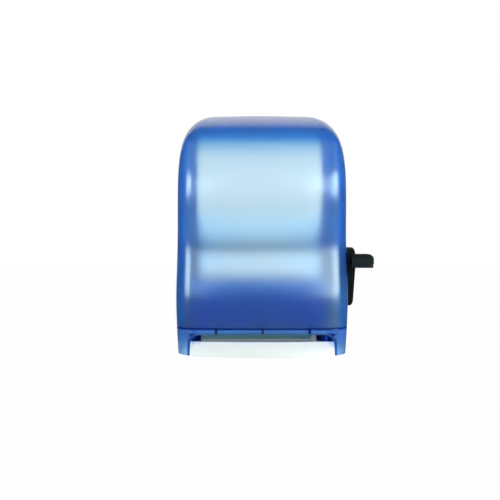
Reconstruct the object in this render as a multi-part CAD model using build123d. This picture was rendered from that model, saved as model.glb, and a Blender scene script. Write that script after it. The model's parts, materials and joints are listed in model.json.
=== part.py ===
from build123d import *
import math
import os

# Lever roll towel dispenser for a wall, in millimetres.
# The wall is the plane y = 0, the front faces -y and z points up.
# The origin is the middle of the four wall screws, on the back face.

# Paper
roll_width = 203.0
roll_radius = 95.0
roll_shift = 4.0
core_radius = 22.0
core_wall = 2.0
stub_radius = 30.0
web_thickness = 0.4
soft_gap = 0.3

# Rooms round the roll, which set the casing's size
back_room = 13.0
front_room = 28.0
crown_room = 49.5
mechanism_room = 179.5
arm_gap = 2.0
arm_thickness = 5.0
plate_gap = 3.5
plate_thickness = 3.0
gear_room = 26.0

# Casing
wall = 3.0
back_wall = 4.0
plan_crown_radius = 800.0
front_corner_radius = 34.0
bottom_rise = 3.0
panel_gap = 0.8
top_strip = 50.0
low_strip = 140.0
parting_slant = 120.0
parting_round = 30.0
seam_share = 0.792
outline_shares = (
    (0.962, -1.12), (0.993, -0.792), (1.0, -0.43), (0.982, 0.286), (0.936, 0.716),
    (0.85, 0.878), (0.736, 0.964), (0.429, 0.99), (0.0, 1.0),
)
profile_shares = (
    (0.96, -1.12), (0.985, -seam_share), (1.0, -0.568), (0.949, -0.172),
    (0.996, 0.267), (0.834, 0.7255), (0.604, 0.8735), (0.085, 1.031),
)

# Wall screws
wall_hole_radius = 3.0
wall_hole_span_x = 190.0
wall_hole_span_z = 300.0

# Cover hinge
barrel_radius = 3.6
hinge_pin_radius = 1.5
lug_width = 4.0
lug_gap = 0.25
lug_shares = (-0.524, 0.006, 0.540)
lug_height = 14.0

# Lower frame, lip and tear bar
arch_side = 24.5
arch_corner_radius = 17.0
rim_thickness = 4.0
rim_depth = 18.0
arch_drop = 0.8
lip_height = 23.5
lip_wall = 3.0
lip_floor = 4.0
lip_bulge = 5.0
lip_setback = 3.0
lip_forward = 6.5
lip_gap = 0.2
tear_bar_thickness = 1.2
tear_bar_height = 10.5
tear_bar_lift = 2.0
tear_tooth = 3.0
tear_web_gap = 5.0
upstand_thickness = 2.5
frame_tab_length = 22.0
frame_tab_height = 16.0
frame_tab_lift = 12.0

# Feed rollers
feed_radius = 23.0
feed_depth = 140.0
feed_rise = 41.5
feed_shaft_radius = 4.0
left_collar = 14.5
right_collar = 23.5
left_collar_radius = 9.0
right_disc = 8.0
right_disc_radius = 14.0
bush_sleeve_radius = 7.0
bush_flange = 2.0
pinch_radius = 11.0
pinch_shaft_radius = 3.0
pinch_block = 14.0
pinch_block_height = 12.0
pinch_block_lip = 2.0
pinch_block_lip_wall = 1.5
pinch_spring_length = 12.0
pinch_spring_radius = 4.0
pinch_spring_turns = 5
spring_wire_radius = 0.5

# Lever and gears
gear_module = 1.5
pinion_teeth = 17
sector_whole_teeth = 92
sector_teeth_before = 14
sector_teeth_after = 2
pressure_angle = 20.0
backlash = 0.2
flank_steps = 5
gear_gap = 9.0
sector_width = 8.0
pinion_width = 11.0
sector_hub_radius = 13.0
clutch_radius = 8.5
lever_depth = 95.0
lever_shaft_radius = 6.0
lever_hub_radius = 35.0
lever_tip_radius = 23.0
lever_tip_back = 13.0
lever_front_radius = 18.0
lever_front_reach = 36.0
lever_front_drop = 17.0
lever_reach = 70.0
lever_rise = 42.75
lever_side_gap = 3.0
lever_thickness = 14.0
lever_skin = 3.0
lever_edge_radius = 6.0
lever_boss_radius = 13.0
lever_screw_head_radius = 6.0
lever_screw_head = 2.5
lever_screw_radius = 2.5
lever_screw_length = 14.0
lever_seat = 3.5
bush_wall = 3.0
bush_flange_wall = 4.0
grip_width = 27.0
grip_wrap = 8.0
grip_length = 46.0
grip_height = 23.0
grip_shelf = 6.0
grip_front_radius = 10.0
grip_end_radius = 8.0
ridge_height = 1.2
ridge_width = 1.6
ridge_count = 10
lever_spring_radius = 9.0
lever_spring_turns = 3

# Side plates and guard
plate_rise = 6.5
plate_round = 20.0
plate_top_room = 24.0
plate_foot = 12.0
guard_wall = 2.5
guard_gap = 5.5
guard_room = 3.5
guard_top_drop = 20.0
guard_bottom_drop = 4.0
stub_roll_gap = 12.0
cradle_start = 222.0
cradle_end = 290.0

# Roll arms
arm_pin_radius = 2.0
arm_pin_room = 10.0
arm_knuckle_radius = 4.0
arm_knuckle_height = 44.0
arm_root_drop = 1.0
arm_disc_radius = 27.0
arm_ear = 6.0
bracket_wall = 3.0
bracket_height = 84.0
hub_length = 12.0
hub_taper = 2.9
hub_gap = 0.1
hub_wall = 3.0
arm_spring_radius = 3.4
arm_spring_room = 14.0
arm_spring_turns = 6

# Latch on top of the cover
latch_width = 48.0
latch_length = 30.0
latch_shift = 2.0
latch_back = 8.0
latch_stem_width = 16.0
latch_stem_length = 13.0
latch_arm = 4.0
latch_drop = 19.5
latch_tooth = 4.4
latch_tooth_height = 5.0
latch_tooth_gap = 0.6
keeper_thickness = 0.8
keeper_width = 12.0
keeper_length = 22.8
keeper_drop = 5.0
keeper_boss_length = 15.0
latch_spring_length = 11.0
latch_spring_turns = 4
latch_shelf_width = 24.0

# Fasteners and fits
screw_radius = 2.0
screw_head_radius = 3.6
screw_head = 2.4
screw_margin = 0.6
run_gap = 0.05
seat_gap = 0.2
clip_thickness = 1.2
clip_ring = 3.0
overrun = 10.0

# Places worked out from the sizes above
roll_x = -roll_shift
roll_left = roll_x - roll_width / 2
roll_right = roll_x + roll_width / 2
left_plate_inner = roll_left - arm_gap - arm_thickness - plate_gap
left_plate_outer = left_plate_inner - plate_thickness
right_plate_inner = roll_right + arm_gap + arm_thickness + plate_gap
right_plate_outer = right_plate_inner + plate_thickness
half_width = right_plate_outer + gear_room + wall
body_depth = back_wall + back_room + 2 * roll_radius + front_room
body_height = crown_room + 2 * roll_radius + mechanism_room
top_z = body_height / 2
bottom_z = -top_z
roll_y = -(back_wall + back_room + roll_radius)
roll_z = top_z - crown_room - roll_radius
seam_z = -seam_share * top_z
crown_axis_y = plan_crown_radius - body_depth

feed_y = -feed_depth
feed_z = bottom_z + feed_rise
feed_left = left_plate_inner + left_collar
feed_right = right_plate_inner - right_collar
nip = web_thickness + 2 * soft_gap
pinch_y = feed_y + feed_radius + nip + pinch_radius
web_y = feed_y + feed_radius + nip / 2

guard_y = feed_y - feed_radius - guard_gap
stub_y = guard_y + guard_room + stub_radius
rolls_apart = roll_radius + stub_radius + stub_roll_gap
stub_z = roll_z - math.sqrt(rolls_apart ** 2 - (stub_y - roll_y) ** 2)

pinion_pitch_radius = gear_module * pinion_teeth / 2
sector_pitch_radius = gear_module * sector_whole_teeth / 2
gear_distance = pinion_pitch_radius + sector_pitch_radius
lever_y = -lever_depth
lever_z = feed_z + math.sqrt(gear_distance ** 2 - (feed_y - lever_y) ** 2)
mesh_angle = math.degrees(math.atan2(feed_z - lever_z, feed_y - lever_y))
sector_left = right_plate_outer + gear_gap
sector_right = sector_left + sector_width
pinion_left = (sector_left + sector_right - pinion_width) / 2
pinion_right = pinion_left + pinion_width
lever_inner = half_width + lever_side_gap
lever_outer = lever_inner + lever_thickness
grip_y = lever_y - lever_reach
grip_z = lever_z + lever_rise

front_at_seam = profile_shares[1][0] * body_depth
seam_crown_radius = plan_crown_radius - body_depth + front_at_seam
arch_half = half_width - arch_side
arch_setback = seam_crown_radius - math.sqrt(seam_crown_radius ** 2 - arch_half ** 2)
hinge_y = -front_at_seam + arch_setback + barrel_radius
hinge_z = seam_z - panel_gap / 2 - barrel_radius
arch_top = hinge_z - barrel_radius - arch_drop

arm_pin_y = -(back_wall + arm_pin_room)
latch_y = -(top_strip + latch_back + latch_length / 2)
latch_arm_top = top_z - latch_drop + latch_arm
keeper_front = -top_strip + keeper_thickness + panel_gap


def block(x0, x1, y0, y1, z0, z1):
    """A box between two corners."""
    middle = Pos((x0 + x1) / 2, (y0 + y1) / 2, (z0 + z1) / 2)
    return middle * Box(abs(x1 - x0), abs(y1 - y0), abs(z1 - z0))


def rod_x(radius, x0, x1, y, z):
    """A round bar along x."""
    return Pos((x0 + x1) / 2, y, z) * Rot(0, 90, 0) * Cylinder(radius, abs(x1 - x0))


def rod_y(radius, x, y0, y1, z):
    """A round bar along y."""
    return Pos(x, (y0 + y1) / 2, z) * Rot(90, 0, 0) * Cylinder(radius, abs(y1 - y0))


def rod_z(radius, x, y, z0, z1):
    """A round bar along z."""
    return Pos(x, y, (z0 + z1) / 2) * Cylinder(radius, abs(z1 - z0))


def side(face, x0, x1):
    """A face drawn in (y, z), stretched along x."""
    return extrude(Plane.YZ.offset(x0) * face, x1 - x0, dir=(1, 0, 0))


def front(face, y0, y1):
    """A face drawn in (x, z), stretched along y from y0 forward to y1."""
    return extrude(Plane.XZ.offset(-y0) * face, y0 - y1, dir=(0, -1, 0))


def moved_in(points, inset):
    """The points of a curve, each moved to its right by the inset."""
    moved = []
    for k, (u, v) in enumerate(points):
        before = points[max(k - 1, 0)]
        after = points[min(k + 1, len(points) - 1)]
        du = after[0] - before[0]
        dv = after[1] - before[1]
        run = math.hypot(du, dv)
        moved.append((u + inset * dv / run, v - inset * du / run))
    return moved


def form(inset=0.0):
    """The casing's outer shape, or the same shape with its walls moved in, with a flat foot."""
    profile = moved_in([(-sy * body_depth, sz * top_z) for sy, sz in profile_shares], inset)
    low = profile[0]
    high = profile[-1]
    curve = Spline([(0, y, z) for y, z in profile])
    rest = Polyline((0, *high), (0, overrun, high[1]), (0, overrun, low[1]), (0, *low))
    crown_axis = Axis((0, crown_axis_y, 0), (0, 0, 1))
    turn = 2 * math.degrees(math.atan2(half_width + overrun, crown_axis_y - overrun))
    section = make_face([curve, *rest.edges()]).rotate(crown_axis, -turn / 2)
    spun = revolve(section, crown_axis, turn)

    half = [(-sx * half_width, sz * top_z) for sx, sz in outline_shares]
    outline = moved_in(half + [(-x, z) for x, z in half[-2::-1]], inset)
    crest = Spline([(x, 0, z) for x, z in outline])
    foot = Line(crest @ 1, crest @ 0)
    slab = extrude(make_face([crest, foot]), body_depth + overrun, dir=(0, -1, 0))
    body = spun & slab
    front_edge = body.edges().sort_by(SortBy.LENGTH)[-1]
    rounded = fillet(front_edge, front_corner_radius - inset)
    return rounded & slab_z(bottom_z - overrun, top_z + overrun)


def between(shape, smaller):
    """The wall between two forms, open at the back and below, sewn from their faces."""
    skins = []
    flats = []
    for solid in (shape, smaller):
        plain = solid.faces().filter_by(GeomType.PLANE)
        skins += [face for face in solid.faces() if face.geom_type != GeomType.PLANE]
        flats.append(sorted(plain, key=lambda face: face.center().Z))
    for large, small in zip(*flats):
        skins += (large - small).faces()
    return Part() + Solid(Shell(ShapeList(skins)))


def above_bottom():
    """Everything above the casing's slightly crowned bottom."""
    wide = half_width + overrun
    high = top_z + overrun
    ends = bottom_z + bottom_rise
    arc = ThreePointArc((-wide, ends), (0, bottom_z), (wide, ends))
    rest = Polyline((wide, ends), (wide, high), (-wide, high), (-wide, ends))
    return front(make_face([arc, *rest.edges()]), overrun, -body_depth - overrun)


def parting(shift, far_y):
    """What lies between the stepped parting line, moved along y, and the plane y = far_y."""
    high = parting_slant / 2
    line = FilletPolyline(
        (-top_strip + shift, top_z + overrun), (-top_strip + shift, high),
        (-low_strip + shift, -high), (-low_strip + shift, bottom_z - overrun),
        radius=parting_round,
    )
    rest = Polyline(line @ 1, (far_y, bottom_z - overrun), (far_y, top_z + overrun), line @ 0)
    wide = half_width + overrun
    return side(make_face([*line.edges(), *rest.edges()]), -wide, wide)


def slab_z(z0, z1):
    """A wide slab between two heights."""
    wide = half_width + overrun
    return block(-wide, wide, -body_depth - overrun, overrun, z0, z1)


outer = form()
middle_form = form(wall / 2)
bottomed = above_bottom()
casing = between(outer, form(wall)) & bottomed
front_part = casing & parting(-panel_gap / 2, -body_depth - overrun)
rear_part = casing & parting(panel_gap / 2, overrun)


def screw_y(x, y, z, length):
    """A pan head screw driven towards +y, with its head's seat at y."""
    head = rod_y(screw_head_radius, x, y - screw_head, y, z)
    head = fillet(head.edges().sort_by(Axis.Y)[0], screw_head / 2)
    return head + rod_y(screw_radius, x, y, y + length, z)


def screw_hole_y(x, y0, y1, z):
    """The hole for such a screw."""
    return rod_y(screw_radius + run_gap, x, y0, y1, z)


def ring_x(outer_radius, bore, x0, x1, y, z):
    """A round tube along x."""
    return rod_x(outer_radius, x0, x1, y, z) - rod_x(bore, x0 - overrun, x1 + overrun, y, z)


def coil(radius, length, turns):
    """A wire spring along +z from the origin, in tangent arcs, two to each quarter turn."""
    rise = length / turns
    slope = rise / (2 * math.pi)
    edges = []
    for k in range(4 * turns):
        ends = []
        for step in (k, k + 1):
            angle = step * math.pi / 2
            place = Vector(radius * math.cos(angle), radius * math.sin(angle), rise * step / 4)
            heading = Vector(-radius * math.sin(angle), radius * math.cos(angle), slope).normalized()
            ends.append((place, heading))
        (start, leave), (end, arrive) = ends
        chord = end - start
        both = leave + arrive
        square = both.dot(both) - 4
        cross = chord.dot(both)
        reach = (cross - math.sqrt(cross ** 2 - square * chord.dot(chord))) / square
        middle = (start + leave * reach + end - arrive * reach) / 2
        edges.append(TangentArc(start, middle, tangent=leave))
        edges.append(TangentArc(middle, end, tangent=middle - start - leave * reach))
    first = edges[0]
    section = Plane(origin=first @ 0, z_dir=first % 0) * Circle(spring_wire_radius)
    return sweep(section, Wire([edge.edge() for edge in edges]))


def tooth_outline(whole_teeth, numbers, middle_angle):
    """Points round gear teeth of the given numbers, counted from the one at middle_angle."""
    pitch_radius = gear_module * whole_teeth / 2
    base_radius = pitch_radius * math.cos(math.radians(pressure_angle))
    tip_radius = pitch_radius + gear_module
    root_radius = pitch_radius - (1 + 1 / 4) * gear_module
    lowest = max(base_radius, root_radius)

    def involute(angle):
        return math.tan(angle) - angle

    half_tooth = math.pi / (2 * whole_teeth) - backlash / (4 * pitch_radius)
    at_pitch = involute(math.radians(pressure_angle))
    flank = [(root_radius, half_tooth + at_pitch - involute(math.acos(base_radius / lowest)))]
    for k in range(flank_steps + 1):
        radius = lowest + (tip_radius - lowest) * k / flank_steps
        flank.append((radius, half_tooth + at_pitch - involute(math.acos(base_radius / radius))))
    points = []
    for number in numbers:
        middle = math.radians(middle_angle) + 2 * math.pi * number / whole_teeth
        for radius, angle in flank:
            points.append((radius * math.cos(middle - angle), radius * math.sin(middle - angle)))
        for radius, angle in reversed(flank):
            points.append((radius * math.cos(middle + angle), radius * math.sin(middle + angle)))
    return points


def screw_places_plates():
    """Where the side plates are screwed to the back: (x, z)."""
    margin = plate_foot / 2
    low = bottom_z + plate_rise + plate_round
    high = stub_z - plate_foot
    return [(x, z) for x in (left_plate_inner + margin, right_plate_inner - margin) for z in (low, high)]


def screw_places_brackets():
    """Where the arm brackets are screwed to the back: (x, z)."""
    margin = bracket_height / 2 - screw_head_radius - screw_margin
    return [(x, roll_z + turn * margin) for x in arm_pin_places() for turn in (-1, 1)]


def arm_pin_places():
    """The x of the two arm pins, left then right."""
    off = arm_gap + arm_thickness / 2
    return (roll_left - off, roll_right + off)


def latch_cutter(room):
    """The upright box that the latch tab is cut from, made larger all round by room."""
    half_x = latch_width / 2 + room
    half_y = latch_length / 2 + room
    tall = block(-half_x, half_x, -half_y, half_y, roll_z, top_z + overrun)
    return Pos(latch_shift, latch_y, 0) * tall


def rear_housing():
    """Back plate with the casing's rear walls, a floor behind the paper slot and a keeper boss."""
    wide = half_width + overrun
    back = outer & bottomed & block(-wide, wide, -back_wall, 0, bottom_z - overrun, top_z + overrun)
    floor = outer & bottomed & block(-wide, wide, -lever_depth, -back_wall / 2, bottom_z, bottom_z + wall)
    boss_rear = keeper_front + keeper_length
    boss_low = latch_arm_top + latch_tooth_height + panel_gap + keeper_thickness
    boss = block(-keeper_width, keeper_width, boss_rear - keeper_boss_length, boss_rear, boss_low, top_z)
    boss = Pos(latch_shift, 0, 0) * boss
    body = rear_part + [back, floor, boss & middle_form]
    holes = [frame_screw_holes()]
    for turn_x in (-1, 1):
        for turn_z in (-1, 1):
            x = turn_x * wall_hole_span_x / 2
            z = turn_z * wall_hole_span_z / 2
            holes.append(rod_y(wall_hole_radius, x, -back_wall - overrun, overrun, z))
    for x, z in screw_places_plates() + screw_places_brackets():
        holes.append(screw_hole_y(x, -back_wall - overrun, overrun, z))
    holes.append(rod_x(lever_shaft_radius + bush_wall + run_gap, sector_left, wide, lever_y, lever_z))
    return body - holes


def frame_screw_place():
    """The (y, z) of the screws that hold the lower frame's rear tabs."""
    return (-low_strip + frame_tab_length / 2, bottom_z + frame_tab_lift + frame_tab_height / 2)


def frame_screw_holes():
    """Holes through both casing walls for the lower frame's screws."""
    wide = half_width + overrun
    return rod_x(screw_radius + run_gap, -wide, wide, *frame_screw_place())


def arch(grow):
    """The arched opening's outline in (x, z), grown by the given amount."""
    half = arch_half + grow
    low = bottom_z - overrun
    high = arch_top + grow
    face = Polygon((-half, low), (half, low), (half, high), (-half, high), align=None)
    return fillet(face.vertices().sort_by(Axis.Y)[-2:], arch_corner_radius + grow)


def lower_frame():
    """The fixed band below the cover, with its arched opening, rim and hinge barrel."""
    low = bottom_z - overrun
    far = -body_depth - overrun
    rim_front = hinge_y - barrel_radius + hinge_pin_radius
    rim_rear = rim_front + rim_depth
    body = front_part & slab_z(low, seam_z - panel_gap / 2)
    body -= block(-arch_half, arch_half, far, rim_rear, arch_top - rim_thickness / 2, seam_z)
    body -= [front(arch(0), rim_rear, far), front(arch(rim_thickness), rim_front, far)]
    rim = front(arch(rim_thickness) - arch(0), rim_rear, rim_front)
    barrel = rod_x(barrel_radius, -arch_half - rim_thickness, arch_half + rim_thickness, hinge_y, hinge_z)
    body += [rim & outer & bottomed, barrel]
    body -= rod_x(hinge_pin_radius + run_gap, -arch_half, arch_half, hinge_y, hinge_z)
    half = lug_width / 2 + lug_gap
    slots = []
    for share in lug_shares:
        x = share * half_width
        slots.append(rod_x(barrel_radius + lug_gap, x - half, x + half, hinge_y, hinge_z))
        slots.append(block(x - half, x + half, rim_front - overrun, hinge_y + barrel_radius, low, hinge_z))
    tabs = []
    tab_front = -low_strip - frame_tab_length / 2
    tab_rear = -low_strip + frame_tab_length
    for turn in (-1, 1):
        tabs.append(front(tab_face(turn, wall / 2), -low_strip - panel_gap / 2, tab_front))
        tabs.append(front(tab_face(turn, wall + seat_gap), tab_rear, -low_strip - wall))
    return body + tabs - [*slots, frame_screw_holes()]


def tab_face(turn, inset):
    """A rear tab's outline in (x, z), from the given inset of the casing inwards."""
    tab_z = frame_screw_place()[1]
    points = []
    for z, depth in ((-1, inset), (1, inset), (1, 2 * wall), (-1, 2 * wall)):
        height = tab_z + z * frame_tab_height / 2
        points.append((turn * (wall_x_at(height) - depth), height))
    return Polygon(*points, align=None)


def front_cover():
    """The hinged front shell with its hinge lugs and the shelf under the latch spring."""
    body = front_part & slab_z(seam_z + panel_gap / 2, top_z + overrun)
    body -= [latch_cutter(panel_gap / 2), hinge_clearance()]
    shelf_top = top_z - latch_drop - latch_spring_length
    half = latch_shelf_width / 2 + wall
    low_y = latch_y - latch_length / 2
    shelf = block(latch_shift - half, latch_shift + half, low_y - 2 * wall, latch_y + latch_stem_length,
                  shelf_top - wall, shelf_top)
    shelf += block(latch_shift - half, latch_shift + half, low_y - 2 * wall, low_y - panel_gap,
                   shelf_top - wall, top_z)
    body += [*cover_lugs(), shelf & middle_form]
    return body - rod_x(hinge_pin_radius + run_gap, -arch_half, arch_half, hinge_y, hinge_z)


def hinge_clearance():
    """What the cover's lower edge leaves free beside the arch, to clear the frame when it swings."""
    reach = math.hypot(barrel_radius, barrel_radius + panel_gap) + lug_gap
    half = arch_half + rim_thickness
    sweep_round = rod_x(reach, -half, half, hinge_y, hinge_z)
    return sweep_round & block(-half, half, -body_depth - overrun, hinge_y + hinge_pin_radius, hinge_z, top_z)


def cover_lugs():
    """The narrow lugs under the cover's lower edge, which turn on the hinge pin."""
    lugs = []
    for share in lug_shares:
        middle = share * half_width
        face_y = -front_at_seam + seam_crown_radius - math.sqrt(seam_crown_radius ** 2 - middle ** 2)
        strap = Polygon(
            (hinge_y, hinge_z - barrel_radius), (hinge_y - barrel_radius, hinge_z),
            (face_y + wall / 2, seam_z + panel_gap), (face_y + wall / 2, seam_z + lug_height),
            (face_y + 2 * wall, seam_z + lug_height), (hinge_y + barrel_radius, hinge_z), align=None,
        )
        eye = Pos(hinge_y, hinge_z) * Circle(barrel_radius)
        lugs.append(side(strap + eye, middle - lug_width / 2, middle + lug_width / 2) & middle_form)
    return lugs


def latch_tab():
    """The press tab in the cover's top, with the hook that reaches back under the keeper."""
    tab = casing & latch_cutter(0)
    left = latch_shift - latch_stem_width / 2
    right = latch_shift + latch_stem_width / 2
    arm_low = latch_arm_top - latch_arm
    stem_front = latch_y - latch_stem_length / 2
    tooth_front = keeper_front + keeper_thickness + latch_tooth_gap
    tooth_rear = tooth_front + latch_tooth
    stem = block(left, right, stem_front, stem_front + latch_stem_length, arm_low, top_z)
    arm = block(left, right, stem_front, tooth_rear, arm_low, latch_arm_top)
    tooth = block(left, right, tooth_front, tooth_rear, arm_low, latch_arm_top + latch_tooth_height)
    return tab + (stem & middle_form) + arm + tooth


def latch_keeper():
    """The sprung steel strip on the rear housing that the latch hook snaps behind."""
    half = keeper_width / 2
    foot_low = latch_arm_top + latch_tooth_height + panel_gap
    foot = block(latch_shift - half, latch_shift + half, keeper_front, keeper_front + keeper_length,
                 foot_low, foot_low + keeper_thickness)
    leg = block(latch_shift - half, latch_shift + half, keeper_front, keeper_front + keeper_thickness,
                foot_low + keeper_thickness - keeper_drop, foot_low + keeper_thickness)
    return foot + leg


def latch_spring():
    """The coil under the latch hook."""
    low = top_z - latch_drop - latch_spring_length + spring_wire_radius + seat_gap
    length = latch_spring_length - 2 * spring_wire_radius - 2 * seat_gap
    return Pos(latch_shift, latch_y, low) * coil(pinch_spring_radius, length, latch_spring_turns)


def hinge_pin():
    """The steel pin that the cover swings on."""
    return rod_x(hinge_pin_radius, -arch_half + seat_gap, arch_half - seat_gap, hinge_y, hinge_z)


def delivery_lip():
    """The pale lip across the arch, with its pan and the upstand that holds the tear bar."""
    lip_top = bottom_z + lip_height
    front_low = -profile_shares[0][0] * body_depth
    top_y = front_low + lip_bulge
    face_y = front_low - lip_setback
    edge_y = front_low - lip_forward
    mid_z = bottom_z + lip_height / 2
    rear_y = web_y - tear_web_gap - tear_bar_thickness
    floor_z = bottom_z + lip_floor
    inner_y = front_low - lip_forward / 2 + lip_wall
    skin = ThreePointArc((0, top_y, lip_top), (0, face_y, mid_z), (0, edge_y, bottom_z))
    base = Polyline(skin @ 1, (0, rear_y, bottom_z), (0, rear_y, floor_z), (0, inner_y, floor_z))
    back = ThreePointArc(base @ 1, (0, face_y + lip_wall, mid_z), (0, top_y + lip_wall, lip_top))
    close = Line(back @ 1, skin @ 0)
    crown_axis = Axis((0, crown_axis_y, 0), (0, 0, 1))
    turn = 2 * math.degrees(math.atan2(half_width, crown_axis_y - rear_y))
    section = make_face([skin, *base.edges(), back, close]).rotate(crown_axis, -turn / 2)
    spun = revolve(section, crown_axis, turn)
    half = arch_half - lip_gap
    body = spun & block(-half, half, -body_depth, rear_y, bottom_z, lip_top)
    body &= front(arch(-lip_gap), rear_y, -body_depth)
    body += block(-half, half, rear_y - 2 * overrun, rear_y, bottom_z, floor_z)
    upstand_top = bottom_z + tear_bar_lift + tear_bar_height
    left = left_plate_inner + lip_wall
    right = right_plate_inner - lip_wall
    body += block(left, right, rear_y - upstand_thickness, rear_y, bottom_z, upstand_top)
    for x in tear_bar_screw_places():
        body -= screw_hole_y(x, rear_y - overrun, rear_y + overrun, tear_bar_screw_z())
    return body & bottomed


def tear_bar_screw_places():
    """The x of the tear bar's screws."""
    return [roll_x + turn * roll_width / 3 for turn in (-1, 0, 1)]


def tear_bar_screw_z():
    """The height of the tear bar's screws."""
    return bottom_z + tear_bar_lift + tear_bar_height - screw_head_radius - screw_margin


def tear_bar():
    """The serrated steel bar that the paper is torn against."""
    low = bottom_z + tear_bar_lift
    high = low + tear_bar_height
    count = round(roll_width / tear_tooth)
    pitch = roll_width / count
    teeth = [(roll_left, high), (roll_left, low + pitch / 2)]
    for k in range(count):
        teeth.append((roll_left + pitch * (k + 1 / 2), low))
        teeth.append((roll_left + pitch * (k + 1), low + pitch / 2))
    teeth.append((roll_right, high))
    rear_y = web_y - tear_web_gap
    bar = front(Polygon(*teeth, align=None), rear_y, rear_y - tear_bar_thickness)
    for x in tear_bar_screw_places():
        bar -= screw_hole_y(x, rear_y - overrun, rear_y + overrun, tear_bar_screw_z())
    return bar


def tear_bar_screws():
    """The screws through the lip's upstand and the tear bar."""
    seat = web_y - tear_web_gap - tear_bar_thickness - upstand_thickness
    length = upstand_thickness + tear_bar_thickness + screw_margin
    return [screw_y(x, seat, tear_bar_screw_z(), length) for x in tear_bar_screw_places()]


def frame_screws():
    """One screw each side through the rear housing into the lower frame's tab."""
    y, z = frame_screw_place()
    screws = []
    for turn in (-1, 1):
        seat = turn * wall_x_at(z + screw_head_radius)
        head = rod_x(screw_head_radius, seat, seat + turn * screw_head, y, z)
        outer_edges = head.edges().sort_by(Axis.X)
        head = fillet(outer_edges[-1] if turn > 0 else outer_edges[0], screw_head / 2)
        screws.append(head + rod_x(screw_radius, seat - turn * 2 * wall, seat, y, z))
    return screws


def wall_x_at(z):
    """The half width of the casing's outline at a height."""
    half = [(-sx * half_width, sz * top_z) for sx, sz in outline_shares]
    curve = Spline(half + [(-x, z) for x, z in half[-2::-1]])
    cut = curve.intersect(Line((0, z), (half_width + overrun, z)))
    return cut.vertices()[0].X


def side_plate(inner, outer_x, foot_turn):
    """A chassis plate, upright from front to back, with a screwed foot and the roller bores."""
    low = bottom_z + plate_rise
    high = stub_z + stub_radius - plate_top_room
    rear = -back_wall
    ahead = guard_y
    face = Polygon((rear, low), (rear, high), (ahead, high), (ahead, low), align=None)
    face = fillet(face.vertices().sort_by(Axis.X)[:2], plate_round)
    body = side(face, min(inner, outer_x), max(inner, outer_x))
    foot_edge = inner + foot_turn * plate_foot
    body += block(min(outer_x, foot_edge), max(outer_x, foot_edge), rear - plate_thickness, rear, low, high)
    for x, z in screw_places_plates():
        body -= screw_hole_y(x, rear - overrun, rear + overrun, z)
    body -= rod_x(bush_sleeve_radius + run_gap, inner - overrun, inner + overrun, feed_y, feed_z)
    slot_front = pinch_y - pinch_block / 2
    slot_rear = pinch_y + pinch_block / 2 + pinch_spring_length
    slot_low = pinch_z() - pinch_block_height / 2 - run_gap
    slot_high = pinch_z() + pinch_block_height / 2 + run_gap
    return body - block(inner - overrun, inner + overrun, slot_front, slot_rear, slot_low, slot_high)


def pinch_z():
    """The height of the pinch roller, level with the feed roller."""
    return feed_z


def left_side_plate():
    """The left chassis plate."""
    return side_plate(left_plate_inner, left_plate_outer, 1)


def right_side_plate():
    """The right chassis plate, which also carries the lever shaft."""
    bore_radius = lever_shaft_radius + bush_wall + run_gap
    bore = rod_x(bore_radius, right_plate_inner - overrun, right_plate_outer + overrun, lever_y, lever_z)
    return side_plate(right_plate_inner, right_plate_outer, -1) - bore


def chassis_screws():
    """The screws that hold the side plates and the arm brackets to the back."""
    screws = []
    for x, z in screw_places_plates():
        screws.append(screw_y(x, -back_wall - plate_thickness, z, plate_thickness + back_wall))
    for x, z in screw_places_brackets():
        screws.append(screw_y(x, -back_wall - bracket_wall, z, bracket_wall + back_wall))
    return screws


def inner_guard():
    """The panel in front of the feed roller, with the cradle that the stub roll lies in."""
    top = stub_z - guard_top_drop
    low = feed_z - guard_bottom_drop
    ahead = guard_y - guard_wall
    panel = Polygon((ahead, low), (guard_y, low), (guard_y, top), (ahead, top), align=None)
    reach = stub_radius + soft_gap
    ring = Pos(stub_y, stub_z) * (Circle(reach + guard_wall) - Circle(reach))
    cradle_middle = (cradle_start + cradle_end) / 2

    def ray(angle, length):
        turn = math.radians(angle)
        return (stub_y + length * math.cos(turn), stub_z + length * math.sin(turn))

    rays = [ray(angle, 2 * (reach + guard_wall)) for angle in (cradle_start, cradle_middle, cradle_end)]
    cradle = ring & Polygon((stub_y, stub_z), *rays, align=None)
    ends = [ray(angle, reach + guard_wall / 2) for angle in (cradle_middle, cradle_start)]
    bridge = Polygon((ahead, top), (ahead, top - 2 * guard_wall), *ends, align=None)
    bridge -= Pos(stub_y, stub_z) * Circle(reach)
    inside = side(cradle + bridge, left_plate_inner + seat_gap, right_plate_inner - seat_gap)
    return side(panel, left_plate_outer, right_plate_outer) + inside


def left_feed_bush():
    """The brass bush and collar at the feed roller's left end."""
    body = rod_x(left_collar_radius, left_plate_inner, feed_left - soft_gap, feed_y, feed_z)
    body += rod_x(bush_sleeve_radius, left_plate_outer - bush_flange, left_plate_inner, feed_y, feed_z)
    return body - rod_x(feed_shaft_radius + run_gap, left_plate_outer - overrun, feed_left, feed_y, feed_z)


def right_feed_bush():
    """The nylon bush at the feed roller's right end, with a disc next to the roller."""
    disc_left = feed_right + soft_gap
    end = right_plate_outer + bush_flange
    neck_radius = bush_sleeve_radius + bush_flange
    body = rod_x(right_disc_radius, disc_left, disc_left + right_disc, feed_y, feed_z)
    body += rod_x(neck_radius, disc_left + right_disc - soft_gap, right_plate_inner, feed_y, feed_z)
    body += rod_x(bush_sleeve_radius, right_plate_inner, end, feed_y, feed_z)
    return body - rod_x(feed_shaft_radius + run_gap, feed_right, end + overrun, feed_y, feed_z)


def feed_roller():
    """The grey rubber sleeve that drives the paper."""
    body = ring_x(feed_radius, feed_shaft_radius + run_gap, feed_left, feed_right, feed_y, feed_z)
    rims = [edge for edge in body.edges().filter_by(GeomType.CIRCLE) if edge.radius > feed_shaft_radius * 2]
    return fillet(rims, bush_flange / 2)


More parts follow.
